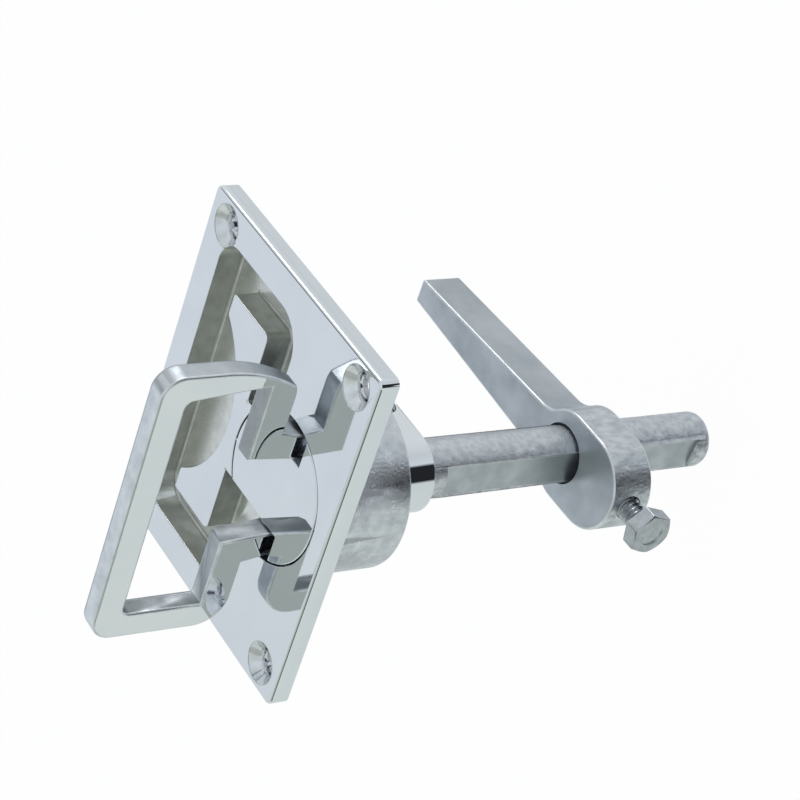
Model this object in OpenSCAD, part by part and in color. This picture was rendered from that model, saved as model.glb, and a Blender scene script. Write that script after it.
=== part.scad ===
// Flush deck hatch latch: a cast plate that lies flush in the deck, with a pocket that takes a
// stirrup handle. The handle is lifted, turns the drum it is hinged in, and the long flatted
// shaft below turns a cam arm under the hatch frame.
// Origin: centre of the four screw holes, on the seat (the underside of the plate).
// +Z points out of the deck, +X from the handle's free bar towards the drum. Millimetres.
// The handle is drawn lifted, the drum at the start of its turn, the arm held part way down.

/* [Deck plate] */
// Width of the plate, across the handle's hinge
plate_w = 76; // [74:0.5:84]
// Length of the plate, along the handle's hinge
plate_l = 90.5; // [89:0.5:100]
// Thickness of the plate's flange
plate_t = 4.75; // [4:0.25:6]
// Corner radius of the plate, seen from above
plate_corner_r = 1.8; // [1.2:0.1:4]
// Rounding of the polished top edge
plate_edge_r = 0.7; // [0.3:0.1:1]
// Distance of the drum's axis from the middle of the plate
axis_offset = 14.7; // [14.2:0.1:15.4]

/* [Mounting screws] */
// Hole pitch across the plate
screw_pitch_x = 60.6; // [60.2:0.1:62]
// Hole pitch along the plate
screw_pitch_y = 77.4; // [77:0.1:79]
// Diameter of the screw holes
screw_hole_d = 5.2; // [4.4:0.1:5.4]
// Diameter of the countersinks at the surface
screw_head_d = 10.2; // [9:0.1:10.8]

/* [Handle pocket] */
// Depth of the pocket below the plate's top
pocket_depth = 6.6; // [6:0.1:8]
// Length of the pocket, along the hinge
pocket_l = 73.6; // [70:0.2:74]
// Distance from the drum's axis to the pocket's far wall
pocket_far = 44.2; // [42:0.1:44.6]
// Distance from the drum's axis to the pocket's near wall
pocket_near = 8.1; // [7.6:0.1:9]
// Corner radius at the far end
pocket_far_r = 6.5; // [6.2:0.1:7.5]
// Corner radius at the near end
pocket_near_r = 9; // [7:0.5:11]
// Width of the channel for the handle's free bar
free_channel_w = 9.6; // [9:0.1:11]
// Width of the channel for the handle's hub bars
hub_channel_w = 10; // [9.4:0.1:11]
// Width of the channels for the handle's side bars
side_channel_w = 9.3; // [8.8:0.1:10]
// Width of the neck that joins the island to the drum's rim
neck_w = 19.4; // [18:0.2:19.6]
// Radius of the finger scoop in the island
scoop_r = 25.8; // [22:0.2:30]
// Distance from the drum's axis to the scoop's nearest point
scoop_near = 22.4; // [21.4:0.2:26]
// Corner radius of the island
island_r = 1.8; // [1:0.1:3]
// Wall of the tray round the pocket
tray_wall = 1.8; // [1.6:0.1:1.9]
// Floor of the tray under the pocket
tray_floor = 2; // [1.6:0.1:3]

/* [Drum cup] */
// Outside diameter of the cup
cup_d = 41.6; // [41:0.1:43]
// Bore that the drum turns in
cup_bore_d = 36.1; // [35.6:0.1:36.5]
// Depth of the cup's end below the plate's top
cup_depth = 23; // [22.4:0.1:26]
// Diameter of the neck that carries the bush
neck_d = 22; // [21:0.1:23]
// Length of the neck below the cup
neck_len = 6.1; // [5:0.1:8]

/* [Drum] */
// Gap all round between drum and bore
drum_gap = 0.4; // [0.3:0.05:0.5]
// Height of the drum
drum_h = 15.6; // [15:0.1:16.4]
// Distance from the drum's axis to the end wall of the two slots
slot_end = 6.2; // [6.1:0.1:7]
// Width of the tongue between the slots
tongue_w = 19.7; // [19:0.1:19.8]
// Rounding of the drum's rim
drum_edge_r = 0.35; // [0.2:0.05:0.5]
// Angle that the drum turns through, from stop to stop
turn_angle = 90; // [60:5:100]

/* [Handle] */
// Thickness of the stirrup
handle_t = 5.6; // [5:0.1:6]
// Gap between the folded handle and the pocket's outer wall
handle_gap = 1.1; // [0.9:0.1:1.5]
// Gap between the folded handle and the island inside it
island_gap = 1.7; // [1.4:0.1:2]
// Radius inside the stirrup's corners
handle_inner_r = 2; // [1:0.1:3]
// Depth of the hinge pin's axis below the plate's top
pin_depth = 4.2; // [3.9:0.05:4.4]
// Diameter of the hinge pin
pin_d = 4; // [3:0.1:4.4]
// Gap between a lug and the tongue
lug_gap = 0.35; // [0.3:0.05:0.5]
// Width of a lug at the pin
lug_w = 6.9; // [6:0.1:6.9]
// Draft of each lug's sides, from the pin to the hub bar
lug_draft = 1.3; // [0.4:0.1:1.5]
// Chamfer of each lug's toe, which clears the end of its slot
toe_chamfer = 0.7; // [0.5:0.1:1]
// Running clearance of the hinge pin and of the bush, on the radius
run_clear = 0.05; // [0.02:0.01:0.08]

/* [Shaft] */
// Diameter of the cast shaft
shaft_d = 13.5; // [13:0.1:13.8]
// Distance across the shaft's two flats
shaft_flats = 10.6; // [10:0.1:11.2]
// Diameter of the machined journal
journal_d = 14; // [13.9:0.1:14.4]
// Diameter of the tenon in the drum
tenon_d = 11; // [10:0.1:12]
// Depth of the shaft's end below the plate's top
shaft_depth = 122; // [110:1:130]
// Depth at which the flats start
flat_start = 42.5; // [41.5:0.1:44]
// Plain length left below the flats
flat_tail = 5; // [4:0.5:8]
// Rounding of the shaft's end
shaft_end_r = 2.4; // [1:0.1:3]

/* [Shaft collar] */
// Outside diameter of the clamping collar
collar_d = 19.3; // [18.8:0.1:20]
// Thickness of the collar
collar_t = 7.9; // [7:0.1:9]
// Reach of the collar's clamping ear from the shaft's axis
ear_reach = 19; // [18:0.5:22]
// Width of the slit in the ear
slit_w = 1.6; // [1.2:0.1:2]
// Thread diameter of the clamping screw
ear_screw_d = 4; // [3:0.1:4.2]

/* [Cam arm] */
// Depth of the arm's working face below the plate's top
arm_depth = 80; // [60:1:100]
// Thickness of the arm
arm_t = 11.2; // [10:0.1:12]
// Reach of the arm's tip from the shaft's axis
arm_reach = 67.6; // [60:0.5:76]
// Width of the arm at its tip
arm_tip_w = 6.5; // [6:0.1:8]
// Width that the arm's tapered sides would have at the shaft's axis
arm_root_w = 13.4; // [12:0.1:16]
// Radius of the hub
hub_r = 11.8; // [11.2:0.1:12.6]
// How far the hub's round end is centred beyond the shaft's axis
hub_shift = 10.3; // [9:0.1:12]
// Radius that blends the arm into the hub
arm_blend_r = 9; // [6:0.5:12]
// Gap between the shaft and the arm's bore, on the radius
arm_bore_gap = 0.65; // [0.4:0.05:0.9]

/* [Clamp bolt] */
// Thread diameter of the clamp bolt
bolt_d = 6; // [5:0.5:8]
// Length of the clamp bolt under its head
bolt_len = 20; // [19:0.5:22]
// Distance across the flats of its head
bolt_af = 10; // [9:0.5:13]
// Height of its head
bolt_head_h = 4; // [3:0.1:5.5]
// Gap between the bolt's tip and the arm's bore, as shown
bolt_tip_gap = 0.5; // [0.2:0.1:1.5]

/* [Inner pieces] */
// Wall of the bearing bush in the neck
bush_wall = 1.8; // [1.5:0.1:2]
// Thickness of the thrust washer under the drum
washer_t = 1.2; // [1:0.1:1.5]
// Outside diameter of the thrust washer
washer_d = 20; // [18:0.2:20.4]
// Diameter of the pin that stops the turn
stop_pin_d = 3; // [2.5:0.1:3.2]
// Radius from the drum's axis to the stop pin
stop_radius = 12.2; // [12.2:0.1:12.6]
// Diameter of the pin that joins shaft and drum
cross_pin_d = 3; // [2.5:0.1:3.2]
// Length of the pin that joins shaft and drum
cross_pin_len = 26; // [22:0.5:28]
// Cross-section of the drum's sealing ring
ring_d = 1.6; // [1.4:0.1:1.8]
// End float of the drum and shaft in the cup
end_float = 0.1; // [0.05:0.05:0.2]

/* [Hidden] */
$fn = 96;

// Cuts run past the faces they open by this much.
over = 1;

// Heights, all from the seat at zero.
top_z = plate_t;
pocket_z = top_z - pocket_depth;
tray_z = pocket_z - tray_floor;
pin_z = top_z - pin_depth;
// The raised handle stands on the floor of its slots, toe down.
slot_z = pin_z - pin_depth;
drum_z = top_z - drum_h;
cup_floor_z = drum_z - washer_t - end_float;
cup_end_z = top_z - cup_depth;
neck_end_z = cup_end_z - neck_len;
collar_top_z = neck_end_z - end_float;
collar_z = collar_top_z - collar_t;
shaft_end_z = top_z - shaft_depth;
flat_top_z = top_z - flat_start;
arm_top_z = top_z - arm_depth;

// Pocket and island, from the drum's axis; the handle points to -X when folded.
island_far = pocket_far - free_channel_w;
island_near = pocket_near + hub_channel_w;
island_l = pocket_l - 2 * side_channel_w;
bore_r = cup_bore_d / 2;
drum_r = bore_r - drum_gap;

// The handle follows its pocket with a gap all round. Its length runs from the pin.
handle_far = pocket_far - handle_gap;
handle_near = pocket_near + handle_gap;
handle_half = pocket_l / 2 - handle_gap;
window_far = island_far + island_gap;
window_near = island_near - island_gap;
window_half = island_l / 2 + island_gap;
lug_in = tongue_w / 2 + lug_gap;
lug_out = lug_in + lug_w;
pin_r = pin_d / 2;
pin_len = 2 * lug_out - 1;
eye_clear = 0.3;
eye_r = pin_depth - eye_clear;

// Shaft, bush and collar.
journal_r = journal_d / 2;
shaft_r = shaft_d / 2;
bush_in_r = journal_r + run_clear;
bush_out_r = bush_in_r + bush_wall;
tenon_top_z = pin_z - pin_r - run_clear - 0.9;
ear_screw_x = -(shaft_r + (ear_reach - shaft_r) / 2);

// The stop pin stands in the cup's floor and runs in a curved groove under the drum.
stop_angle = 135;
stop_clear = 0.3;
stop_groove_h = 3;
stop_pin_r = stop_pin_d / 2;
stop_pin_seat = 3.5;
// Where the pin meets the end of its groove, seen from the axis.
stop_slack = asin(stop_clear / stop_radius);

// Sealing ring, in a groove in the lower part of the drum.
ring_r = ring_d / 2;
ring_groove_h = ring_d + 0.2;
ring_seat_r = bore_r - stop_clear - ring_d;
ring_z = drum_z + 1 + ring_groove_h / 2;
cross_pin_r = cross_pin_d / 2;
cross_pin_z = ring_z + ring_groove_h / 2 + cross_pin_r + 0.7;

// Hub, bolt and arm.
arm_bore_r = shaft_r + arm_bore_gap;
hub_back = 2;
hub_end = hub_shift + hub_r;
bolt_r = bolt_d / 2;
bolt_tip_x = arm_bore_r + bolt_tip_gap;
bolt_head_x = bolt_tip_x + bolt_len;
bolt_z = arm_top_z - arm_t / 2;
screw_r = screw_hole_d / 2;
head_r = screw_head_d / 2;

module at_axis() {
    translate([axis_offset, 0, 0]) children();
}

// A disc whose top edge is rounded.
module rounded_disc(r, h, edge) {
    rotate_extrude()
        union() {
            square([r - edge, h]);
            square([r, h - edge]);
            translate([r - edge, h - edge]) circle(edge, $fn = 32);
        }
}

// A bar with both long top edges rounded, along Y and centred on the origin.
module rounded_bar(w, l, h, edge) {
    rotate([90, 0, 0])
        translate([0, 0, -l / 2])
            linear_extrude(l)
                union() {
                    translate([-w / 2, 0]) square([w, h - edge]);
                    translate([-w / 2 + edge, 0]) square([w - 2 * edge, h]);
                    for (side = [-1, 1])
                        translate([side * (w / 2 - edge), h - edge]) circle(edge, $fn = 32);
                }
}

// The flange: two crossed bars and four discs, all with the same rounded top edge.
module flange() {
    rounded_bar(plate_w, plate_l - 2 * plate_corner_r, plate_t, plate_edge_r);
    rotate(90) rounded_bar(plate_l, plate_w - 2 * plate_corner_r, plate_t, plate_edge_r);
    for (sx = [-1, 1], sy = [-1, 1])
        translate([sx * (plate_w / 2 - plate_corner_r), sy * (plate_l / 2 - plate_corner_r), 0])
            rounded_disc(plate_corner_r, plate_t, plate_edge_r);
}

// The pocket's outline seen from above, grown all round by grow.
module pocket_outline(grow) {
    far = pocket_far + grow;
    near = pocket_near - grow;
    half = pocket_l / 2 + grow;
    r1 = pocket_far_r + grow;
    r2 = pocket_near_r + grow;
    polygon([[-far, -half + r1], [-far + r1, -half], [-near - r2, -half], [-near, -half + r2],
        [-near, half - r2], [-near - r2, half], [-far + r1, half], [-far, half - r1]]);
    for (side = [-1, 1]) {
        translate([-far + r1, side * (half - r1)]) circle(r1);
        translate([-near - r2, side * (half - r2)]) circle(r2);
    }
}

// The island inside the stirrup, with the finger scoop taken out of its far side.
module island_outline() {
    half = island_l / 2;
    difference() {
        union() {
            polygon([[-island_far, -half], [-island_near - island_r, -half],
                [-island_near, -half + island_r], [-island_near, half - island_r],
                [-island_near - island_r, half], [-island_far, half]]);
            for (side = [-1, 1])
                translate([-island_near - island_r, side * (half - island_r)]) circle(island_r);
            translate([-island_near - island_r, -neck_w / 2])
                square([island_near + island_r, neck_w]);
        }
        translate([-scoop_near - scoop_r, 0]) circle(scoop_r);
    }
}

// The two short channels that lead the lugs from the pocket into the drum's bore.
module lug_channels() {
    wide = lug_out + lug_draft + handle_gap / 3;
    for (side = [-1, 1])
        scale([1, side])
            polygon([[-island_near, neck_w / 2], [0, neck_w / 2], [0, lug_out],
                [-pin_depth, lug_out + 0.4], [-handle_near, wide], [-island_near, wide]]);
}

module screw_holes() {
    for (sx = [-1, 1], sy = [-1, 1])
        translate([sx * screw_pitch_x / 2, sy * screw_pitch_y / 2, 0]) {
            translate([0, 0, -over]) cylinder(r = screw_r, h = plate_t + 2 * over);
            translate([0, 0, top_z - (head_r - screw_r)])
                cylinder(r1 = screw_r, r2 = head_r, h = head_r - screw_r);
            translate([0, 0, top_z - 0.01]) cylinder(r = head_r, h = over);
        }
}

// One casting: flange, tray and cup. The top is polished, the cup is left rough.
module deck_plate() {
    color("gainsboro")
        difference() {
            union() {
                flange();
                at_axis() {
                    translate([0, 0, tray_z])
                        linear_extrude(plate_t / 2 - tray_z) pocket_outline(tray_wall);
                    translate([0, 0, cup_end_z]) cylinder(d = cup_d, h = plate_t / 2 - cup_end_z);
                    translate([0, 0, neck_end_z]) cylinder(d = neck_d, h = neck_len + over);
                }
            }
            at_axis() {
                translate([0, 0, pocket_z])
                    linear_extrude(pocket_depth + over)
                        difference() {
                            union() {
                                pocket_outline(0);
                                lug_channels();
                            }
                            island_outline();
                        }
                translate([0, 0, cup_floor_z]) cylinder(r = bore_r, h = top_z - cup_floor_z + over);
                translate([0, 0, neck_end_z - over]) cylinder(r = bush_out_r, h = cup_depth);
                rotate(stop_angle)
                    translate([stop_radius, 0, cup_floor_z - stop_pin_seat])
                        cylinder(r = stop_pin_r, h = stop_pin_seat + over);
            }
            screw_holes();
        }
}

module neck_bush() {
    color("ivory")
        at_axis()
            translate([0, 0, neck_end_z])
                difference() {
                    cylinder(r = bush_out_r, h = cup_floor_z - neck_end_z);
                    translate([0, 0, -over])
                        cylinder(r = bush_in_r, h = cup_floor_z - neck_end_z + 2 * over);
                }
}

module thrust_washer() {
    color("ivory")
        at_axis()
            translate([0, 0, cup_floor_z])
                difference() {
                    cylinder(d = washer_d, h = washer_t);
                    translate([0, 0, -over])
                        cylinder(r = bush_in_r + stop_clear, h = washer_t + 2 * over);
                }
}

module stop_pin() {
    color("silver")
        at_axis()
            rotate(stop_angle)
                translate([stop_radius, 0, cup_floor_z - stop_pin_seat])
                    cylinder(r = stop_pin_r,
                        h = stop_pin_seat + washer_t + end_float + stop_groove_h - stop_clear);
}

// A groove along part of a circle about the drum's axis, from angle a to angle b.
module curved_groove(radius, half_w, h, a, b) {
    rotate(a)
        rotate_extrude(angle = b - a)
            translate([radius - half_w, 0]) square([2 * half_w, h]);
    for (end = [a, b])
        rotate(end) translate([radius, 0, 0]) cylinder(r = half_w, h = h);
}

// The polished drum: a full disc below, a tongue and a head above, with a slot for each lug.
module rotor_drum() {
    color("gainsboro")
        at_axis()
            difference() {
                translate([0, 0, drum_z]) rounded_disc(drum_r, drum_h, drum_edge_r);
                for (side = [-1, 1])
                    scale([1, side, 1])
                        translate([-bore_r - over, tongue_w / 2, slot_z])
                            cube([bore_r + over + slot_end, bore_r, top_z - slot_z + over]);
                translate([0, bore_r, pin_z])
                    rotate([90, 0, 0]) cylinder(r = pin_r + run_clear, h = cup_bore_d);
                translate([0, 0, drum_z - over])
                    cylinder(d = tenon_d, h = tenon_top_z - drum_z + over);
                translate([-cross_pin_len / 2, 0, cross_pin_z])
                    rotate([0, 90, 0]) cylinder(r = cross_pin_r, h = cross_pin_len / 2 + bore_r);
                translate([0, 0, drum_z - over])
                    curved_groove(stop_radius, stop_pin_r + stop_clear, stop_groove_h + over,
                        stop_angle - turn_angle, stop_angle);
                translate([0, 0, ring_z - ring_groove_h / 2])
                    difference() {
                        cylinder(r = bore_r + over, h = ring_groove_h);
                        translate([0, 0, -over])
                            cylinder(r = ring_seat_r, h = ring_groove_h + 2 * over);
                    }
            }
}

module drum_o_ring() {
    color("dimgray")
        at_axis()
            translate([0, 0, ring_z])
                rotate_extrude() translate([ring_seat_r + ring_r, 0]) circle(ring_r, $fn = 32);
}

// A shaft cut by two flats; the flats run out in the plain stretch at each end.
module flatted_shaft() {
    difference() {
        rotate([180, 0, 0])
            translate([0, 0, -collar_top_z])
                rounded_disc(shaft_r, collar_top_z - shaft_end_z, shaft_end_r);
        for (side = [-1, 1])
            scale([side, 1, 1])
                translate([shaft_flats / 2, -shaft_r, shaft_end_z + flat_tail])
                    cube([shaft_r, shaft_d, flat_top_z - shaft_end_z - flat_tail]);
    }
}

module drive_shaft() {
    color("darkgray")
        at_axis()
            difference() {
                union() {
                    flatted_shaft();
                    translate([0, 0, collar_top_z])
                        cylinder(r = journal_r, h = drum_z - collar_top_z);
                    translate([0, 0, drum_z - over]) cylinder(d = tenon_d, h = tenon_top_z - drum_z + over);
                }
                translate([-tenon_d, 0, cross_pin_z])
                    rotate([0, 90, 0]) cylinder(r = cross_pin_r, h = 2 * tenon_d);
            }
}

module shaft_cross_pin() {
    color("silver")
        at_axis()
            translate([-cross_pin_len / 2, 0, cross_pin_z])
                rotate([0, 90, 0]) cylinder(r = cross_pin_r, h = cross_pin_len);
}

// A one-piece clamping collar: round on the shaft, with a slit ear that the screw draws together.
module shaft_collar() {
    nut_depth = collar_d / 2 - 4;
    color("whitesmoke")
        at_axis()
            translate([0, 0, collar_z])
                difference() {
                    union() {
                        cylinder(d = collar_d, h = collar_t);
                        translate([-ear_reach, -collar_d / 2, 0]) cube([ear_reach, collar_d, collar_t]);
                    }
                    translate([0, 0, -over]) cylinder(r = shaft_r, h = collar_t + 2 * over);
                    translate([-ear_reach - over, -slit_w / 2, -over])
                        cube([ear_reach + over, slit_w, collar_t + 2 * over]);
                    translate([ear_screw_x, collar_d / 2 + over, collar_t / 2])
                        rotate([90, 0, 0])
                            cylinder(d = ear_screw_d, h = collar_d + 2 * over);
                    translate([ear_screw_x, collar_d / 2 + over, collar_t / 2])
                        rotate([90, 0, 0])
                            cylinder(r = ear_screw_d * 0.85, h = nut_depth + over);
                }
}

// Socket head screw across the collar's ear, its head sunk in the +Y side.
module collar_screw() {
    head_seat = 4;
    color("silver")
        at_axis()
            translate([ear_screw_x, head_seat, collar_z + collar_t / 2])
                rotate([-90, 0, 0])
                    difference() {
                        union() {
                            cylinder(r = ear_screw_d * 0.85 - 0.15, h = ear_screw_d);
                            translate([0, 0, -head_seat - collar_d / 2])
                                cylinder(d = ear_screw_d, h = collar_d / 2 + head_seat + over);
                        }
                        translate([0, 0, ear_screw_d * 0.45])
                            cylinder(r = ear_screw_d * 0.43, h = ear_screw_d, $fn = 6);
                    }
}

module hinge_pin() {
    color("silver")
        at_axis()
            translate([0, pin_len / 2, pin_z])
                rotate([90, 0, 0]) cylinder(r = pin_r, h = pin_len);
}

// Outline of the stirrup: X across the plate's length, Y along the handle from its pin.
module stirrup_outline() {
    r1 = pocket_far_r - handle_gap;
    r2 = pocket_near_r - handle_gap;
    difference() {
        union() {
            polygon([[-handle_half, handle_near + r2], [-handle_half + r2, handle_near],
                [handle_half - r2, handle_near], [handle_half, handle_near + r2],
                [handle_half, handle_far - r1], [handle_half - r1, handle_far],
                [-handle_half + r1, handle_far], [-handle_half, handle_far - r1]]);
            for (side = [-1, 1]) {
                translate([side * (handle_half - r1), handle_far - r1]) circle(r1);
                translate([side * (handle_half - r2), handle_near + r2]) circle(r2);
            }
        }
        window_outline();
        mouth = lug_in + lug_draft;
        polygon([[-mouth, window_near + over], [mouth, window_near + over],
            [mouth, window_near], [lug_in, 0], [-lug_in, 0], [-mouth, window_near]]);
    }
    for (side = [-1, 1])
        scale([side, 1])
            polygon([[lug_in, 0], [lug_out, 0], [lug_out, pin_depth],
                [lug_out + lug_draft, handle_near + over], [lug_in + lug_draft, window_near],
                [lug_in + lug_draft * 0.5, window_near / 2]]);
}

module window_outline() {
    r = handle_inner_r;
    polygon([[-window_half, window_near], [window_half, window_near],
        [window_half, window_far - r], [window_half - r, window_far],
        [-window_half + r, window_far], [-window_half, window_far - r]]);
    for (side = [-1, 1])
        translate([side * (window_half - r), window_far - r]) circle(r, $fn = 48);
}

// A lug's end seen along the pin: a round eye whose heel turns freely over the slot's floor, and
// a square toe that stands on the floor and stops the handle upright.
module lug_end() {
    circle(eye_r, $fn = 64);
    polygon([[0, 0], [0, -pin_depth], [pin_depth - toe_chamfer, -pin_depth],
        [pin_depth, -pin_depth + toe_chamfer], [pin_depth, 0]]);
}

// The stirrup stands on its pin, mirror face towards +X.
module pull_handle() {
    color("gainsboro")
        at_axis()
            translate([0, 0, pin_z])
                difference() {
                    union() {
                        translate([pin_depth, 0, 0])
                            rotate([90, 0, -90]) linear_extrude(handle_t) stirrup_outline();
                        for (side = [-1, 1])
                            translate([0, side * (lug_in + lug_w / 2) + lug_w / 2, 0])
                                rotate([90, 0, 0]) linear_extrude(lug_w) lug_end();
                    }
                    translate([0, bore_r, 0])
                        rotate([90, 0, 0]) cylinder(r = pin_r + run_clear, h = cup_bore_d);
                }
}

// Where the blend circle sits: rf outside the arm's side line and outside the hub's circle.
arm_slope = atan((arm_root_w - arm_tip_w) / 2 / arm_reach);
arm_line = arm_root_w / 2 * cos(arm_slope);
blend_t = hub_back * cos(arm_slope)
    - sqrt(pow(hub_r + arm_blend_r, 2)
        - pow(arm_line + arm_blend_r + hub_back * sin(arm_slope), 2));
blend_c = [blend_t * cos(arm_slope) - (arm_line + arm_blend_r) * sin(arm_slope),
    blend_t * sin(arm_slope) + (arm_line + arm_blend_r) * cos(arm_slope)];

module arm_solid() {
    linear_extrude(arm_t) arm_outline();
    for (x = [hub_back, hub_shift]) translate([x, 0, 0]) cylinder(r = hub_r, h = arm_t);
    translate([hub_back, -hub_r, 0]) cube([hub_shift - hub_back, 2 * hub_r, arm_t]);
}

// The tapered arm with the two blends that lead it into the hub.
module arm_outline() {
    // Both ends of the blend lie a hair inside its circle, so that no sliver is left there.
    hair = 0.05;
    foot = blend_c + (arm_blend_r - hair) * [sin(arm_slope), -cos(arm_slope)];
    touch = [hub_back, 0] + (blend_c - [hub_back, 0]) * (hub_r + hair) / (hub_r + arm_blend_r);
    polygon([[-arm_reach, -arm_tip_w / 2], [0, -arm_root_w / 2], [0, arm_root_w / 2],
        [-arm_reach, arm_tip_w / 2]]);
    for (side = [-1, 1])
        scale([1, side])
            difference() {
                polygon([[foot[0], 0], foot, touch, [hub_back, 0]]);
                translate(blend_c) circle(arm_blend_r);
            }
}

module cam_arm() {
    color("lightgray")
        at_axis()
            difference() {
                translate([0, 0, arm_top_z - arm_t]) arm_solid();
                translate([0, 0, arm_top_z - arm_t - over])
                    cylinder(r = arm_bore_r, h = arm_t + 2 * over);
                translate([0, 0, bolt_z])
                    rotate([0, 90, 0]) cylinder(r = bolt_r + run_clear, h = hub_end + over);
            }
}

// Hexagon head bolt; its head is chamfered, its tip tapered.
module clamp_bolt() {
    corner_r = bolt_af / 2 / cos(30);
    tip_h = 0.8;
    color("lightslategray")
        at_axis()
            translate([bolt_tip_x, 0, bolt_z])
                rotate([0, 90, 0]) {
                    cylinder(r1 = bolt_r - tip_h, r2 = bolt_r, h = tip_h);
                    translate([0, 0, tip_h]) cylinder(r = bolt_r, h = bolt_len - tip_h + 0.5);
                    translate([0, 0, bolt_len])
                        intersection() {
                            cylinder(r = corner_r, h = bolt_head_h, $fn = 6);
                            cylinder(r1 = bolt_af / 2 + bolt_head_h * 1.7, r2 = bolt_af / 2 - 0.2,
                                h = bolt_head_h);
                        }
                }
}

deck_plate();
neck_bush();
thrust_washer();
stop_pin();
rotor_drum();
drum_o_ring();
drive_shaft();
shaft_cross_pin();
shaft_collar();
collar_screw();
hinge_pin();
pull_handle();
cam_arm();
clamp_bolt();
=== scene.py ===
# Flush deck hatch latch, dressed: polished, satin and sand-cast stainless steel.
from math import radians

import bmesh
import bpy
from mathutils import Matrix, Vector


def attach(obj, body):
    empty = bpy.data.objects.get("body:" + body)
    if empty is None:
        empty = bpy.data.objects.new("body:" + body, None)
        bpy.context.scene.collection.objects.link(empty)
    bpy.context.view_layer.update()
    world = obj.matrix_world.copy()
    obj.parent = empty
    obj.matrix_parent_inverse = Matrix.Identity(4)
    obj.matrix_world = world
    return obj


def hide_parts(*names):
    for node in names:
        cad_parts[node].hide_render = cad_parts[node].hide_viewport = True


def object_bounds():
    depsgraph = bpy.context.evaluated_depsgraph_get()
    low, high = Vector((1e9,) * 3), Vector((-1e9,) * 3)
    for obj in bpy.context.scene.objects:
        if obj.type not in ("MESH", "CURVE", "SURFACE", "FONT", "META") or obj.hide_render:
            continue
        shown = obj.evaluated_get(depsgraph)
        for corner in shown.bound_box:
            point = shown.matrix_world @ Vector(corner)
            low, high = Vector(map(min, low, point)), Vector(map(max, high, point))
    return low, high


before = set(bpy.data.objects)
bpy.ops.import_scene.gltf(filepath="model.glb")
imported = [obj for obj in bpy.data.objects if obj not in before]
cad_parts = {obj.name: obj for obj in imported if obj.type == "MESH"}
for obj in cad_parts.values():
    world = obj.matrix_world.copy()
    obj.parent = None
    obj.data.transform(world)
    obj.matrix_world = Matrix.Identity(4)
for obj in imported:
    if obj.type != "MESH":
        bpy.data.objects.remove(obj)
cad_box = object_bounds()
scene = bpy.context.scene
scene.view_settings.view_transform = "Standard"

# Sizes that the dressing needs, in millimetres, all from the seat of the plate.
MM = 0.001
# The deck plate: its top, its outline with the width of its rounded corners, and its screw holes.
PLATE_TOP = 4.75
PLATE_HALF_X = 38.0
PLATE_HALF_Y = 45.25
PLATE_RIM = 1.9
TOP_ARRIS = 0.8
HOLE_X = 30.3
HOLE_Y = 38.7
HEAD_R = 5.1
# The pocket's floor, just past its far wall, just below its tray, and the cup with its bore.
POCKET_FLOOR = -1.85
POCKET_FAR_X = -30.0
TRAY_END = POCKET_FLOOR - 3.0
BORE_R = 18.05
CUP_END = -18.25
# The drum on its axis, the handle's pin in it, and just below the floor of its slot.
AXIS_X = 14.7
DRUM_R = 17.65
PIN_Z = 0.55
SLOT_END = PIN_Z - 4.3
# The handle as it stands up, and the window in it; above FAR_BAR lies its free bar.
HANDLE_T = 5.6
FRONT_X = AXIS_X + 4.2
BACK_X = FRONT_X - HANDLE_T
HANDLE_NEAR = PIN_Z + 9.2
HANDLE_FAR = PIN_Z + 43.1
FAR_BAR = HANDLE_FAR - 8.0
HANDLE_HALF = 35.7
WINDOW_HALF = 29.2
WINDOW_NEAR = PIN_Z + 16.4
# Its corner on the +Y side: the sweep outside, the cube that the waste comes from, and how far
# the window is drawn out towards it.
SWEPT_R = 35.8
SWEPT_Z = 28.5
WASTE = 20.0
WASTE_X = 16.0
WINDOW_DRAWN = 2.0
# The shaft: just below its turned journal, and its flats.
JOURNAL_END = CUP_END - 6.2
FLAT_X = 5.3
# The cam arm: its bore for the shaft lies within this of the axis, and its outside doesn't.
ARM_BORE_R = 9.0
# The clamp bolt, the corners of its head turned down, and its thread.
BOLT_Z = -80.85
BOLT_TIP = AXIS_X + 7.9
BOLT_LENGTH = 20.0
CORE_LENGTH = BOLT_LENGTH + 1.0
BOLT_HEAD = BOLT_TIP + BOLT_LENGTH
BOLT_R = 3.0
BOLT_FLATS = 10.0
BOLT_HEAD_H = 4.0
BOLT_TURNED_DOWN = 0.2
DISH_R = 2.9
DISH_DEPTH = 0.3
THREAD_PITCH = 1.25
THREAD_DEPTH = 0.72
THREAD_TURNS = 14
THREAD_LEAD = 1.2
# The turn that lays an upright primitive along X.
ALONG_X = (0, radians(90), 0)


def paint(hex_code):
    """A colour written as sRGB hex, turned to linear."""
    out = []
    for i in (0, 2, 4):
        c = int(hex_code[i:i + 2], 16) / 255
        out.append(c / 12.92 if c <= 0.04045 else ((c + 0.055) / 1.055) ** 2.4)
    return (*out, 1.0)


def add(tree, kind, links=None, **settings):
    """Adds one node: settings are its own properties or its sockets' values, links its inputs."""
    node = tree.nodes.new(kind)
    for name, value in settings.items():
        if hasattr(node, name):
            setattr(node, name, value)
        else:
            node.inputs[name.replace("_", " ")].default_value = value
    for name, source in (links or {}).items():
        tree.links.new(source, node.inputs[name])
    return node


def new_finish(name):
    """An empty material, its shader and its output joined."""
    mat = bpy.data.materials.new(name)
    mat.use_nodes = True
    tree = mat.node_tree
    tree.nodes.clear()
    shader = add(tree, "ShaderNodeBsdfPrincipled", Metallic=1.0)
    add(tree, "ShaderNodeOutputMaterial", {"Surface": shader.outputs[0]})
    return mat, tree, shader


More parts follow.
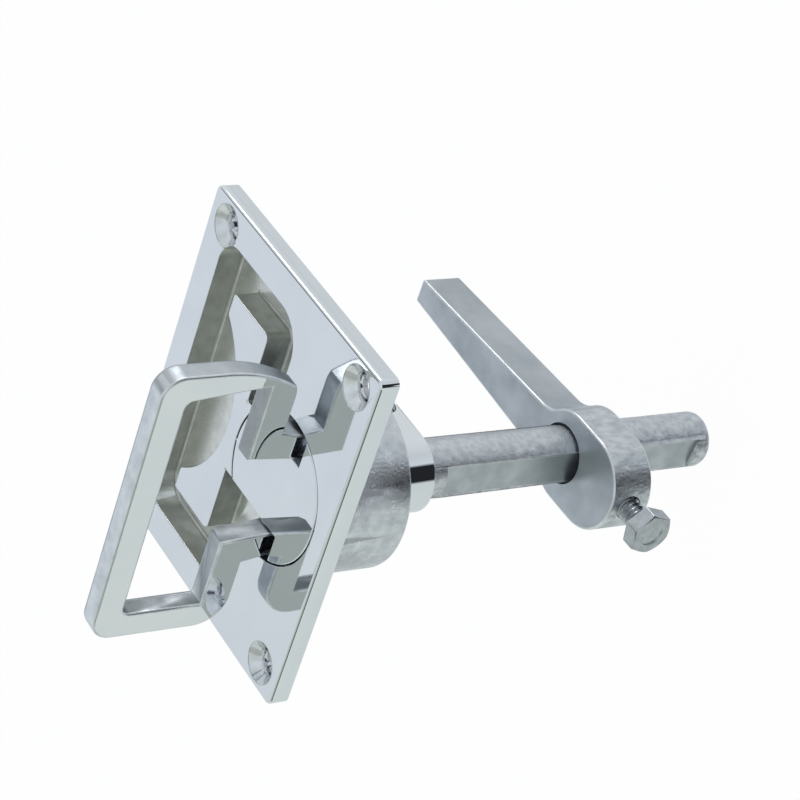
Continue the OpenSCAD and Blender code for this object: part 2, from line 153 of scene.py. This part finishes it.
def between(tree, source, low, high, from_low=0.0, from_high=1.0):
    """A value moved from one range to another, held at both ends."""
    node = add(tree, "ShaderNodeMapRange", {"Value": source}, From_Min=from_low,
               From_Max=from_high, To_Min=low, To_Max=high)
    return node.outputs["Result"]


# The part of a noise pattern's range that its patches really use.
SPREAD = (0.3, 0.7)


def steel(name, light, dark, rough, patch_mm=6.0, patchy=0.06, grain_mm=0.0, grain_depth=0.0,
          swell_mm=0.0, swell_depth=0.0, stretch=(1, 1, 1)):
    """Stainless steel: patches of two greys and two degrees of shine, a grain for its cast,
    blasted or ground skin, and a swell for the unevenness that buffing by hand leaves."""
    mat, tree, shader = new_finish(name)
    spot = add(tree, "ShaderNodeTexCoord").outputs["Object"]
    drawn_out = add(tree, "ShaderNodeMapping", {"Vector": spot}, Scale=stretch).outputs[0]
    patches = add(tree, "ShaderNodeTexNoise", {"Vector": drawn_out}, Scale=1 / (patch_mm * MM),
                  Detail=3.0).outputs["Fac"]
    tone = add(tree, "ShaderNodeMix", {"Factor": between(tree, patches, 0, 1, *SPREAD)},
               data_type="RGBA")
    tone.inputs[6].default_value = paint(dark)
    tone.inputs[7].default_value = paint(light)
    tree.links.new(tone.outputs[2], shader.inputs["Base Color"])
    shine = between(tree, patches, rough * (1 + patchy * 3), rough * (1 - patchy * 3), *SPREAD)
    tree.links.new(shine, shader.inputs["Roughness"])
    normal = None
    for width, depth, detail in ((swell_mm, swell_depth, 1.0), (grain_mm, grain_depth, 5.0)):
        if depth:
            relief = add(tree, "ShaderNodeTexNoise", {"Vector": drawn_out}, Scale=1 / (width * MM),
                         Detail=detail, Roughness=0.6)
            bump = add(tree, "ShaderNodeBump", {"Height": relief.outputs["Fac"]},
                       Distance=depth * MM)
            if normal:
                tree.links.new(normal, bump.inputs["Normal"])
            normal = bump.outputs[0]
    if normal:
        tree.links.new(normal, shader.inputs["Normal"])
    return mat


def plain_stuff(name, colour, rough, grain_mm, grain_depth):
    """A non-metal: acetal or rubber, with a fine machined or moulded skin."""
    mat, tree, shader = new_finish(name)
    shader.inputs["Metallic"].default_value = 0.0
    shader.inputs["Base Color"].default_value = paint(colour)
    spot = add(tree, "ShaderNodeTexCoord").outputs["Object"]
    grain = add(tree, "ShaderNodeTexNoise", {"Vector": spot},
                Scale=1 / (grain_mm * MM)).outputs["Fac"]
    tree.links.new(between(tree, grain, rough + 0.08, rough - 0.08, *SPREAD),
                   shader.inputs["Roughness"])
    bump = add(tree, "ShaderNodeBump", {"Height": grain}, Distance=grain_depth * MM)
    tree.links.new(bump.outputs[0], shader.inputs["Normal"])
    return mat


# Stainless steel, buffed on a wheel: mirror bright, with the slight swell of hand polishing.
buffed = steel("buffed_stainless", "EEF1F4", "E9EDF0", 0.035, patch_mm=12, swell_mm=16,
               swell_depth=0.012)
# Stainless steel, cut by a tool: the screw holes and the bores, bright with an even shine.
turned = steel("turned_stainless", "EEF0F2", "DADDE0", 0.15, patch_mm=2, grain_mm=0.25,
               grain_depth=0.004)
# Stainless steel, cast and blasted: the walls of the pocket, pale, matt and even.
blasted = steel("blasted_stainless", "CDCFCA", "BBBDB7", 0.36, patch_mm=3, grain_mm=0.4,
                grain_depth=0.03)
# Stainless steel, cast and pickled: the floor of the pocket, pale with a soft shine.
pickled = steel("pickled_stainless", "F1F2EE", "DDDED9", 0.26, patch_mm=5, grain_mm=0.5,
                grain_depth=0.03)
# Stainless steel out of the sand mould, brushed over: pitted, with bright sparkles.
sand_cast = steel("sand_cast_stainless", "E6E9ED", "CDD1D6", 0.30, patch_mm=2.5, patchy=0.08,
                  grain_mm=0.7, grain_depth=0.10)
# Stainless steel, cast and wire brushed: the shaft's duller skin, with fine sparkles.
brushed = steel("brushed_stainless", "DDE0E4", "BFC3C8", 0.40, patch_mm=1.6, patchy=0.09,
                grain_mm=0.7, grain_depth=0.13)
# Stainless steel, investment cast and tumbled: satin, with faint cloudy patches.
tumbled = steel("tumbled_stainless", "C6CBD0", "B2B8BD", 0.36, patch_mm=8, grain_mm=0.5,
                grain_depth=0.015, swell_mm=9, swell_depth=0.06)
# Stainless steel, cast and planed or brushed flat: an even, duller grey.
planed = steel("planed_stainless", "C6CBCF", "B2B8BD", 0.40, patch_mm=5, grain_mm=0.5,
               grain_depth=0.02, swell_mm=9, swell_depth=0.05)
# Stainless steel, a darker grey: painted shade on the walls of the handle's -Y side that face into
# the window.
skin = steel("cast_skin_stainless", "A3A7AA", "8F9498", 0.44, patch_mm=4, grain_mm=0.5,
             grain_depth=0.03)
# Stainless steel, linished on a belt: a soft shine that still shows what stands before it.
linished = steel("linished_stainless", "DDE1E5", "CDD2D6", 0.24, patch_mm=9, grain_mm=0.5,
                 grain_depth=0.008, swell_mm=10, swell_depth=0.05)
# Stainless steel, ground by hand along the hub: long coarse scratches and sparkles.
ground = steel("ground_stainless", "E0E3E7", "BFC4C9", 0.38, patch_mm=1.4, patchy=0.1,
               grain_mm=0.8, grain_depth=0.13, stretch=(1, 1, 0.5))
# Stainless steel, rubbed by hands and made lighter as a painted highlight: the bright arrises, and
# the far wall of the handle.
rubbed = steel("rubbed_stainless", "EDF0F2", "D6DBDF", 0.36, patch_mm=3, grain_mm=0.6,
               grain_depth=0.01)
# Stainless bar, drawn and cold headed: plain, with a low shine.
drawn = steel("drawn_stainless", "C4C8CB", "A9AEB2", 0.24, patch_mm=2, grain_mm=0.4,
              grain_depth=0.006)
# Acetal, machined: off-white and slightly waxy.
acetal = plain_stuff("machined_acetal", "E6E3DA", 0.40, 0.4, 0.01)
# Nitrile rubber, moulded: black and dull.
nitrile = plain_stuff("nitrile_rubber", "141416", 0.55, 0.3, 0.01)


def dress(node, mat):
    """Puts a material on a CAD node's own object."""
    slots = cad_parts[node].data.materials
    slots.clear()
    slots.append(mat)


def alone(piece):
    """Selects one piece and nothing else."""
    bpy.ops.object.select_all(action="DESELECT")
    piece.select_set(True)
    bpy.context.view_layer.objects.active = piece


def apply(piece, kind, **settings):
    """Adds a modifier with its settings and applies it."""
    alone(piece)
    mod = piece.modifiers.new(kind.lower(), kind)
    for name, value in settings.items():
        setattr(mod, name, value)
    bpy.ops.object.modifier_apply(modifier=mod.name)


def pick_edges(piece, wanted, sharp=30):
    """Enters edit mode with the arrises selected whose two ends wanted() takes, in mm."""
    alone(piece)
    bpy.ops.object.mode_set(mode="EDIT")
    bpy.ops.mesh.select_mode(type="EDGE")
    bpy.ops.mesh.select_all(action="DESELECT")
    bpy.ops.mesh.edges_select_sharp(sharpness=radians(sharp))
    mesh = bmesh.from_edit_mesh(piece.data)
    for edge in mesh.edges:
        if edge.select and not wanted(*(v.co / MM for v in edge.verts)):
            edge.select_set(False)
    mesh.select_flush_mode()
    bmesh.update_edit_mesh(piece.data)


def ease(piece, width, wanted, steps=3, mat=None):
    """Rounds arrises, or fills inner corners, by a width in mm; mat shows on the new faces."""
    pick_edges(piece, wanted)
    index = piece.data.materials.find(mat.name) if mat else -1
    bpy.ops.mesh.bevel(offset=width * MM, segments=steps, affect="EDGES", clamp_overlap=False,
                       loop_slide=False, material=index)
    bpy.ops.object.mode_set(mode="OBJECT")


def clean(piece):
    """Merges doubled points and lays the flat faces out again in plain triangles."""
    alone(piece)
    bpy.ops.object.mode_set(mode="EDIT")
    bpy.ops.mesh.select_all(action="SELECT")
    bpy.ops.mesh.remove_doubles(threshold=0.002 * MM)
    bpy.ops.mesh.dissolve_limited(angle_limit=radians(0.3), delimit={"MATERIAL"})
    bpy.ops.mesh.select_all(action="SELECT")
    bpy.ops.mesh.quads_convert_to_tris(quad_method="BEAUTY", ngon_method="BEAUTY")
    bpy.ops.object.mode_set(mode="OBJECT")


def stock(kind, at, **settings):
    """A primitive at its size and place, in mm, made with nothing else selected."""
    bpy.ops.object.select_all(action="DESELECT")
    kind(location=Vector(at) * MM, **settings)
    piece = bpy.context.active_object
    bpy.ops.object.transform_apply(location=True, rotation=True, scale=True)
    return piece


def cut(piece, tool, operation="DIFFERENCE"):
    """Cuts a piece with a tool, and clears the tool away."""
    apply(piece, "BOOLEAN", operation=operation, object=tool, solver="EXACT")
    bpy.data.objects.remove(tool)


def casting(node, mats, zone):
    """A merged copy of a CAD node's solid, its faces given to mats by zone(middle, normal)."""
    piece = bpy.data.objects.new(node + "_dressed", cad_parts[node].data.copy())
    scene.collection.objects.link(piece)
    clean(piece)
    piece.data.materials.clear()
    for mat in mats:
        piece.data.materials.append(mat)
    for face in piece.data.polygons:
        face.material_index = mats.index(zone(face.center / MM, face.normal))
    return piece


def finish(piece, node, body, smooth=32):
    """Clears slivers, shades a piece, seats it on its body and lets it stand for its CAD node."""
    alone(piece)
    bpy.ops.object.mode_set(mode="EDIT")
    bpy.ops.mesh.select_all(action="SELECT")
    bpy.ops.mesh.remove_doubles(threshold=0.01 * MM)
    bpy.ops.mesh.dissolve_degenerate(threshold=0.005 * MM)
    bpy.ops.object.mode_set(mode="OBJECT")
    bpy.ops.object.shade_smooth_by_angle(angle=radians(smooth))
    apply(piece, "WEIGHTED_NORMAL", keep_sharp=True)
    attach(piece, body)
    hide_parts(node)


def near(value, level, slack=0.05):
    """Whether a value in mm is at a level, but for rounding."""
    return abs(value - level) < slack


def both_at(axis, level, a, b):
    """Whether both ends of an arris lie at one level on an axis."""
    return near(getattr(a, axis), level) and near(getattr(b, axis), level)


def from_axis(point):
    """Distance from the drum's axis, in mm."""
    return Vector((point.x - AXIS_X, point.y)).length


def from_bolt(point):
    """Distance from the clamp bolt's axis, in mm."""
    return Vector((point.y, point.z - BOLT_Z)).length


def from_hole(point):
    """Distance from the nearest screw hole, in mm."""
    return Vector((abs(point.x) - HOLE_X, abs(point.y) - HOLE_Y)).length


# The deck plate: buffed above, blasted in its pocket, and as cast below the flange.
def plate_zone(middle, normal):
    if from_hole(middle) < HEAD_R + 0.1 and normal.z < 0.99:
        return turned
    if middle.z > PLATE_TOP - TOP_ARRIS and normal.z > 0.3:
        return buffed
    if abs(middle.x) > PLATE_HALF_X - PLATE_RIM or abs(middle.y) > PLATE_HALF_Y - PLATE_RIM:
        return buffed
    if middle.z < TRAY_END:
        bored = from_axis(middle) < BORE_R + 0.45 and middle.z > CUP_END + 1
        return turned if bored else sand_cast
    if near(middle.z, POCKET_FLOOR) and normal.z > 0.9:
        return pickled
    if from_axis(middle) < BORE_R + 0.2:
        return turned
    in_pocket = middle.x > POCKET_FAR_X and middle.z > POCKET_FLOOR - 0.1
    return blasted if in_pocket else sand_cast


plate = casting("deck_plate", [buffed, turned, blasted, pickled, sand_cast, rubbed], plate_zone)
# First the upright arrises of the pocket and the island, then those round the top.
ease(plate, 0.5, lambda a, b: near(a.x, b.x) and near(a.y, b.y) and from_axis(a) > BORE_R + 0.5
     and min(a.z, b.z) > POCKET_FLOOR - 0.1
     and abs(a.x) < PLATE_HALF_X - 1 and abs(a.y) < PLATE_HALF_Y - 1.25, mat=blasted)
ease(plate, 0.2, lambda a, b: both_at("z", PLATE_TOP, a, b) and from_hole(a) > HEAD_R + 0.2,
     mat=buffed)
# The corner between the pocket's walls and its floor is filled, as a casting's is.
ease(plate, 0.9, lambda a, b: both_at("z", POCKET_FLOOR, a, b)
     and min(from_axis(a), from_axis(b)) > BORE_R + 0.5, mat=blasted)
# The rims of the screw holes, and the end of the cup.
ease(plate, 0.12, lambda a, b: both_at("z", PLATE_TOP, a, b) and from_hole(a) < HEAD_R + 0.2,
     steps=2, mat=turned)
ease(plate, 0.8, lambda a, b: both_at("z", CUP_END, a, b) and from_axis(a) > 15, mat=sand_cast)
finish(plate, "deck_plate", "housing")


# The drum: a buffed head and tongue, a linished slot, and a turned body.
def drum_zone(middle, normal):
    if middle.z > PLATE_TOP - 0.5 and normal.z > 0.2:
        return buffed
    in_slot = middle.z > SLOT_END and from_axis(middle) < DRUM_R - 0.1
    return linished if in_slot else turned


drum = casting("rotor_drum", [buffed, turned, linished], drum_zone)
ease(drum, 0.25, lambda a, b: both_at("z", PLATE_TOP, a, b), mat=buffed)
finish(drum, "rotor_drum", "rotor")


# The handle: a buffed front, duller sides, painted shade on the walls of its -Y side that face
# into the window, and a far wall rubbed by hands and made lighter as a painted highlight.
def handle_zone(middle, normal):
    if normal.x > 0.9:
        return buffed
    # The far wall facing +Z takes the rubbed finish, made lighter as a painted highlight.
    if normal.z > 0.7 and middle.z > FAR_BAR:
        return rubbed
    # The walls on the -Y side that face into the window take a darker grey: painted shade.
    return skin if normal.y > 0.5 and middle.y < 0 else planed


handle = casting("pull_handle", [planed, buffed, rubbed, skin], handle_zone)
# On the +Y side the window's corner is drawn out and the outer corner is swept in a long curve:
# a block the shape of the waste is cut from a cube with a wheel, and then cut from the handle.
for vertex in handle.data.vertices:
    if near(vertex.co.y / MM, WINDOW_HALF) and near(vertex.co.z / MM, WINDOW_NEAR):
        vertex.co.y += WINDOW_DRAWN * MM
waste = stock(bpy.ops.mesh.primitive_cube_add, (WASTE_X, 32, SWEPT_Z - WASTE / 2),
              size=WASTE * MM)
wheel = stock(bpy.ops.mesh.primitive_cylinder_add, (WASTE_X, HANDLE_HALF - SWEPT_R, SWEPT_Z),
              vertices=360, radius=SWEPT_R * MM, depth=30 * MM, rotation=ALONG_X)
cut(waste, wheel)
cut(handle, waste)
clean(handle)
# The lower corner of the hub on that side, then the arrises at the back and in front.
ease(handle, 2.2, lambda a, b: both_at("z", HANDLE_NEAR, a, b) and near(a.y, b.y) and a.y > 25,
     steps=6, mat=planed)
ease(handle, 1.2, lambda a, b: both_at("x", BACK_X, a, b)
     and min(a.z, b.z) > HANDLE_NEAR - 0.2, steps=5, mat=planed)
# The front arrises take the rubbed finish, made lighter as a painted highlight.
ease(handle, 0.6, lambda a, b: both_at("x", FRONT_X, a, b), steps=4, mat=rubbed)
finish(handle, "pull_handle", "handle")


# The shaft: turned where it runs in the bush, brushed below, its flats planed.
def shaft_zone(middle, normal):
    if middle.z > JOURNAL_END:
        return turned
    on_flat = near(abs(middle.x - AXIS_X), FLAT_X) and abs(normal.x) > 0.9
    return planed if on_flat else brushed


shaft = casting("drive_shaft", [brushed, planed, turned], shaft_zone)
ease(shaft, 0.35, lambda a, b: near(abs(a.x - AXIS_X), FLAT_X) and near(abs(b.x - AXIS_X), FLAT_X),
     mat=brushed)
finish(shaft, "drive_shaft", "rotor")

# The clamping collar, buffed all over.
collar = casting("shaft_collar", [buffed, turned], lambda middle, normal: buffed)
ease(collar, 0.35, lambda a, b: True, mat=buffed)
finish(collar, "shaft_collar", "rotor")


# The cam arm: tumbled, with rubbed arrises made lighter as a painted highlight, and a hub that was
# ground by hand round its side.
def arm_zone(middle, normal):
    on_hub = middle.x > AXIS_X - 2 and from_axis(middle) > ARM_BORE_R
    return ground if on_hub and abs(normal.z) < 0.5 else tumbled


arm = casting("cam_arm", [tumbled, ground, rubbed], arm_zone)
ease(arm, 0.55, lambda a, b: min(from_axis(a), from_axis(b)) > ARM_BORE_R, steps=4,
     mat=rubbed)
finish(arm, "cam_arm", "arm")

# The clamp bolt: a turned core, a thread wound round it, and a forged hexagon head.
core = stock(bpy.ops.mesh.primitive_cylinder_add, (BOLT_TIP + CORE_LENGTH / 2, 0, BOLT_Z),
             vertices=64, radius=(BOLT_R - THREAD_DEPTH) * MM, depth=CORE_LENGTH * MM,
             rotation=ALONG_X)
core.name = "clamp_bolt_threaded"
ease(core, 0.6, lambda a, b: both_at("x", BOLT_TIP, a, b), steps=2)

# A three-sided ridge, wound by the screw modifier and closed at both ends.
bpy.ops.object.select_all(action="DESELECT")
bpy.ops.mesh.primitive_circle_add(vertices=3, radius=MM, location=(0, 0, 0))
ridge = bpy.context.active_object
half = THREAD_PITCH * 0.47
root = BOLT_R - THREAD_DEPTH - 0.05
for vertex, (along, out) in zip(ridge.data.vertices, ((-half, root), (half, root), (0, BOLT_R))):
    vertex.co = (0, out * MM, along * MM)
apply(ridge, "SCREW", axis="Z", angle=radians(360), screw_offset=THREAD_PITCH * MM,
      iterations=THREAD_TURNS, steps=40, render_steps=40, use_merge_vertices=False)
alone(ridge)
bpy.ops.object.mode_set(mode="EDIT")
bpy.ops.mesh.select_all(action="DESELECT")
bpy.ops.mesh.select_mode(type="EDGE")
bpy.ops.mesh.select_non_manifold()
bpy.ops.mesh.fill()
bpy.ops.mesh.select_all(action="SELECT")
bpy.ops.mesh.normals_make_consistent(inside=False)
bpy.ops.object.mode_set(mode="OBJECT")
ridge.rotation_euler = ALONG_X
ridge.location = Vector((BOLT_TIP + THREAD_LEAD + half, 0, BOLT_Z)) * MM
bpy.ops.object.transform_apply(location=True, rotation=True, scale=True)

# The head: a hexagon whose corners a turning tool has taken down, with a shallow forged dish.
HEAD_MIDDLE = (BOLT_HEAD + BOLT_HEAD_H / 2, 0, BOLT_Z)
head = stock(bpy.ops.mesh.primitive_cylinder_add, HEAD_MIDDLE, vertices=6,
             radius=BOLT_FLATS / 3 ** 0.5 * MM, depth=BOLT_HEAD_H * MM,
             rotation=(radians(90), radians(18), radians(90)))
tip = BOLT_FLATS / 2 - BOLT_TURNED_DOWN
cone = stock(bpy.ops.mesh.primitive_cone_add, HEAD_MIDDLE, vertices=96,
             radius1=(tip + 7.0) * MM, radius2=tip * MM, depth=BOLT_HEAD_H * MM,
             rotation=ALONG_X)
cut(head, cone, "INTERSECT")
dish = stock(bpy.ops.mesh.primitive_cylinder_add, (BOLT_HEAD + BOLT_HEAD_H, 0, BOLT_Z),
             vertices=64, radius=DISH_R * MM, depth=2 * DISH_DEPTH * MM, rotation=ALONG_X)
ease(dish, 0.25, lambda a, b: max(a.x, b.x) < BOLT_HEAD + BOLT_HEAD_H)
cut(head, dish)
ease(head, 0.18, lambda a, b: min(from_bolt(a), from_bolt(b)) > DISH_R + 0.6, steps=2)
for part in (ridge, head):
    part.data.materials.clear()
alone(core)
ridge.select_set(True)
head.select_set(True)
bpy.ops.object.join()
core.data.materials.clear()
core.data.materials.append(drawn)
finish(core, "clamp_bolt", "bolt")

# The pins and the collar's screw, the bush and the washer, and the ring.
for name in ("hinge_pin", "stop_pin", "shaft_cross_pin", "collar_screw"):
    dress(name, drawn)
for name in ("neck_bush", "thrust_washer"):
    dress(name, acetal)
dress("drum_o_ring", nitrile)

# The studio: the latch lies in a white tent with a bright top and a dark opening at one side.
# Every direction is fixed in the latch's own frame. The tones are those of the tent's cloth,
# from its foot at 0 to its top at 1.
TENT_UP = (-0.60, 0.797, -0.078)
TONES = ((0.0, "D8DEDA"), (0.30, "D3DAD9"), (0.47, "D9DFE6"), (0.62, "D9DFE5"), (0.80, "CDD3D6"),
         (1.0, "E4E8EA"))
# The dark opening lies between two walls and below a lintel.
OPENING_WALLS = ((0.788, -0.616, 0), (-0.07, 0.998, 0))
OPENING_DOWN = (0, 0, 1)
# Two dark stands, each with the cosine at which it fades out and in.
STANDS = (((0.84, -0.53, 0.08), 0.965, 0.985), ((-0.634, -0.05, 0.77), 0.975, 0.99))
CURTAIN = (0.66, -0.53, 0.53)
world = bpy.data.worlds.new("white_tent")
scene.world = world
world.use_nodes = True
sky = world.node_tree
sky.nodes.clear()
paths = add(sky, "ShaderNodeLightPath")
look = add(sky, "ShaderNodeTexCoord").outputs["Generated"]


def facing(way):
    """How far the looked-at direction points along a way, from -1 to 1."""
    dot = add(sky, "ShaderNodeVectorMath", {0: look}, operation="DOT_PRODUCT")
    dot.inputs[1].default_value = Vector(way).normalized()
    return dot.outputs["Value"]


def between_facing(way, low, high, from_low, from_high):
    """A value that goes from low to high as the look turns towards a way."""
    return between(sky, facing(way), low, high, from_low, from_high)


def both(first, second, operation="MULTIPLY"):
    """Two masks joined: multiplied, or the larger of the two."""
    return add(sky, "ShaderNodeMath", {0: first, 1: second}, operation=operation).outputs[0]


cloth = add(sky, "ShaderNodeValToRGB", {"Fac": between_facing(TENT_UP, 0, 1, -1, 1)})
bands = cloth.color_ramp.elements
for height, tone in TONES:
    band = bands[0] if height == 0.0 else bands[-1] if height == 1.0 else bands.new(height)
    band.color = paint(tone)
walls = both(*(between_facing(way, 0, 1, -0.03, 0.06) for way in OPENING_WALLS))
opening = both(walls, between_facing(OPENING_DOWN, 1, 0, 0.18, 0.34))
stands = both(*(between_facing(way, 0, 1, out, full) for way, out, full in STANDS), "MAXIMUM")
gloom = both(opening, stands, "MAXIMUM")
# A grey-green curtain, which shows mainly where one polished face stands before another.
curtain = add(sky, "ShaderNodeMix", {"Factor": between_facing(CURTAIN, 0, 1, 0.90, 0.96),
                                     6: cloth.outputs[0]}, data_type="RGBA")
curtain.inputs[7].default_value = paint("AEB4AF")
dim = add(sky, "ShaderNodeMix", {"Factor": gloom, 6: curtain.outputs[2]}, data_type="RGBA")
dim.inputs[7].default_value = paint("26272B")
tent = add(sky, "ShaderNodeBackground", {"Color": dim.outputs[2]}, Strength=1.0)
white = add(sky, "ShaderNodeBackground", Color=(1, 1, 1, 1), Strength=1.0)
pick = add(sky, "ShaderNodeMixShader", {"Fac": paths.outputs["Is Camera Ray"],
                                        1: tent.outputs[0], 2: white.outputs[0]})
add(sky, "ShaderNodeOutputWorld", {"Surface": pick.outputs[0]})


def lamp(name, spot, aim, size, power):
    """A soft box: a square area lamp at spot, turned towards aim, in millimetres."""
    data = bpy.data.lights.new(name, "AREA")
    data.size = size * MM
    data.energy = power
    obj = bpy.data.objects.new(name, data)
    scene.collection.objects.link(obj)
    way = Vector(aim) - Vector(spot)
    turned_to = way.to_track_quat("-Z", "Y").to_matrix().to_4x4()
    obj.matrix_world = Matrix.Translation(Vector(spot) * MM) @ turned_to


lamp("top_box", (-330, 520, -20), (0, 0, -30), 260, 0.7)

# The floor: pale paper, half a millimetre under the latch, that shows white to the lens, keeps
# a faint shadow and isn't mirrored in the steel.
FLOOR_GAP = 0.5
FLOOR_SIZE = 6000
bpy.ops.object.select_all(action="DESELECT")
bpy.ops.mesh.primitive_plane_add(size=FLOOR_SIZE * MM,
                                 location=(0, 0, cad_box[0][2] - FLOOR_GAP * MM))
floor = bpy.context.active_object
floor.name = "pale_floor"
sheet = bpy.data.materials.new("pale_paper")
sheet.use_nodes = True
tree = sheet.node_tree
tree.nodes.clear()
paths = add(tree, "ShaderNodeLightPath")
paper = add(tree, "ShaderNodeBsdfDiffuse", Color=paint("E4E8E6"))
glow = add(tree, "ShaderNodeEmission", Color=(1, 1, 1, 1), Strength=1.02)
# The lens sees nearly all white; what is left shows the shadow.
seen = add(tree, "ShaderNodeMath", {0: paths.outputs["Is Camera Ray"]}, operation="MULTIPLY")
seen.inputs[1].default_value = 0.94
lit = add(tree, "ShaderNodeMixShader", {"Fac": seen.outputs[0], 1: paper.outputs[0],
                                        2: glow.outputs[0]})
gone = add(tree, "ShaderNodeBsdfTransparent")
mixed = add(tree, "ShaderNodeMixShader", {"Fac": paths.outputs["Is Glossy Ray"],
                                          1: lit.outputs[0], 2: gone.outputs[0]})
add(tree, "ShaderNodeOutputMaterial", {"Surface": mixed.outputs[0]})
floor.data.materials.append(sheet)

# The camera, fitted to the photograph: 121.5 mm on a 36 mm sensor, seen from out of the deck.
eye = bpy.data.cameras.new("photo_eye")
eye.sensor_width = 36
eye.lens = 121.46
eye.clip_start = 0.05
eye.clip_end = 20
camera = bpy.data.objects.new("photo_eye", eye)
scene.collection.objects.link(camera)
right = Vector((0.48864, 0.287144, -0.823881))
down = Vector((0.59956, -0.796521, 0.077989))
ahead = Vector((-0.633844, -0.532075, -0.561372))
place = Vector((394.425, 339.832, 309.727 + PLATE_TOP)) * MM
camera.matrix_world = Matrix((
    (right.x, -down.x, -ahead.x, place.x),
    (right.y, -down.y, -ahead.y, place.y),
    (right.z, -down.z, -ahead.z, place.z),
    (0, 0, 0, 1)))
scene.camera = camera
